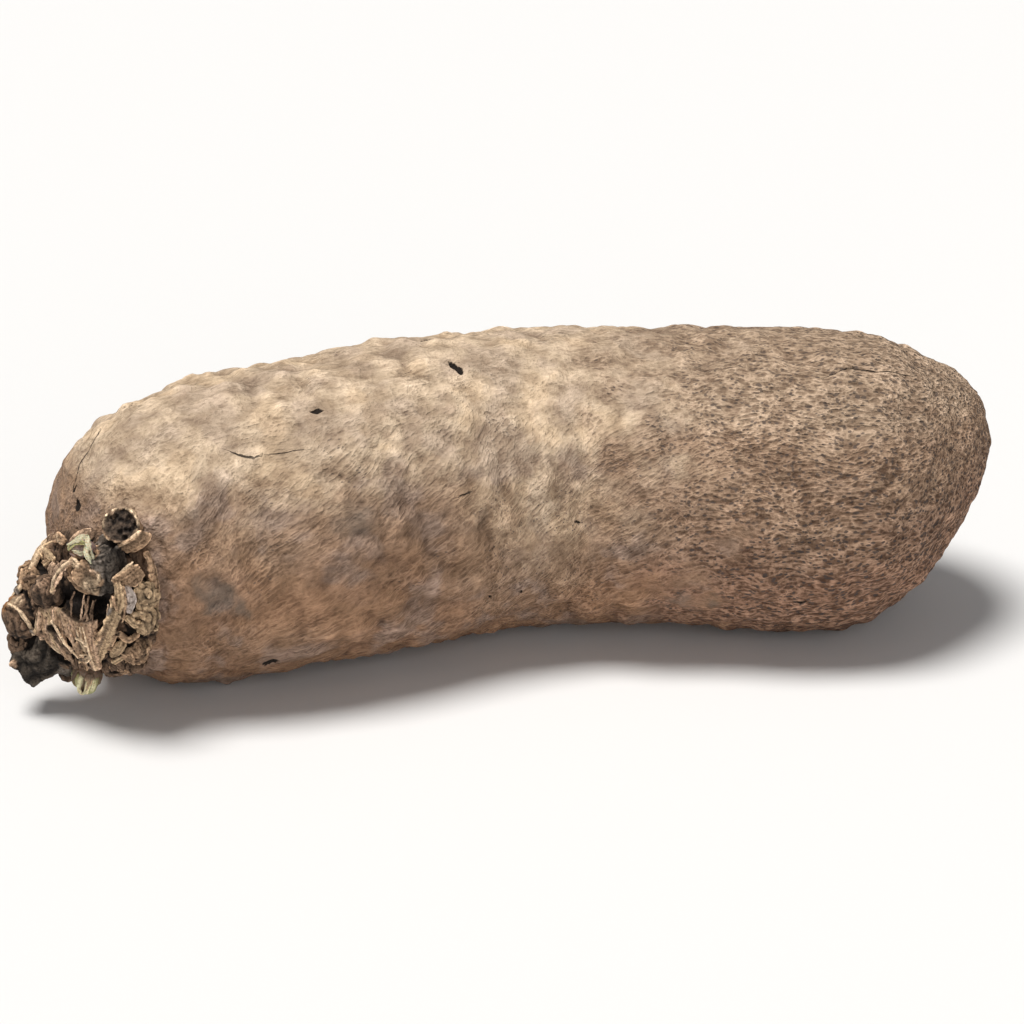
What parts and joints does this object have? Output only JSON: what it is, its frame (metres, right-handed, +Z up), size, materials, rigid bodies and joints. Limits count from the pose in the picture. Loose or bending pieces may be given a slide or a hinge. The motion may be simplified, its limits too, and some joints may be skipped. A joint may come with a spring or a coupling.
{
  "type": "yam tuber",
  "caption": "Whole yam tuber lying on its side: a long, gently bowed root with papery skin, a rough blunt tip and a woody crown of cut vine stubs and live buds.",
  "frame": {"origin": "centre of the bounding box on the plane that the tuber rests on", "axes": "+X along the tuber from its crown to its tip, +Y across it towards the outside of its bow, +Z up from the resting plane"},
  "size_m": [0.333, 0.133, 0.1015],
  "materials": {
    "tan_skin": "dry papery corky skin, matte",
    "bark_brown": "rough fibrous bark, matte",
    "bud_green": "smooth living bud, satin",
    "torn_green": "torn living bud scale, satin"
  },
  "bodies": {
    "root": {"tuber": "tan_skin", "crown": "bark_brown", "shoot_bud": "bud_green", "torn_bud": "torn_green"}
  },
  "joints": []
}
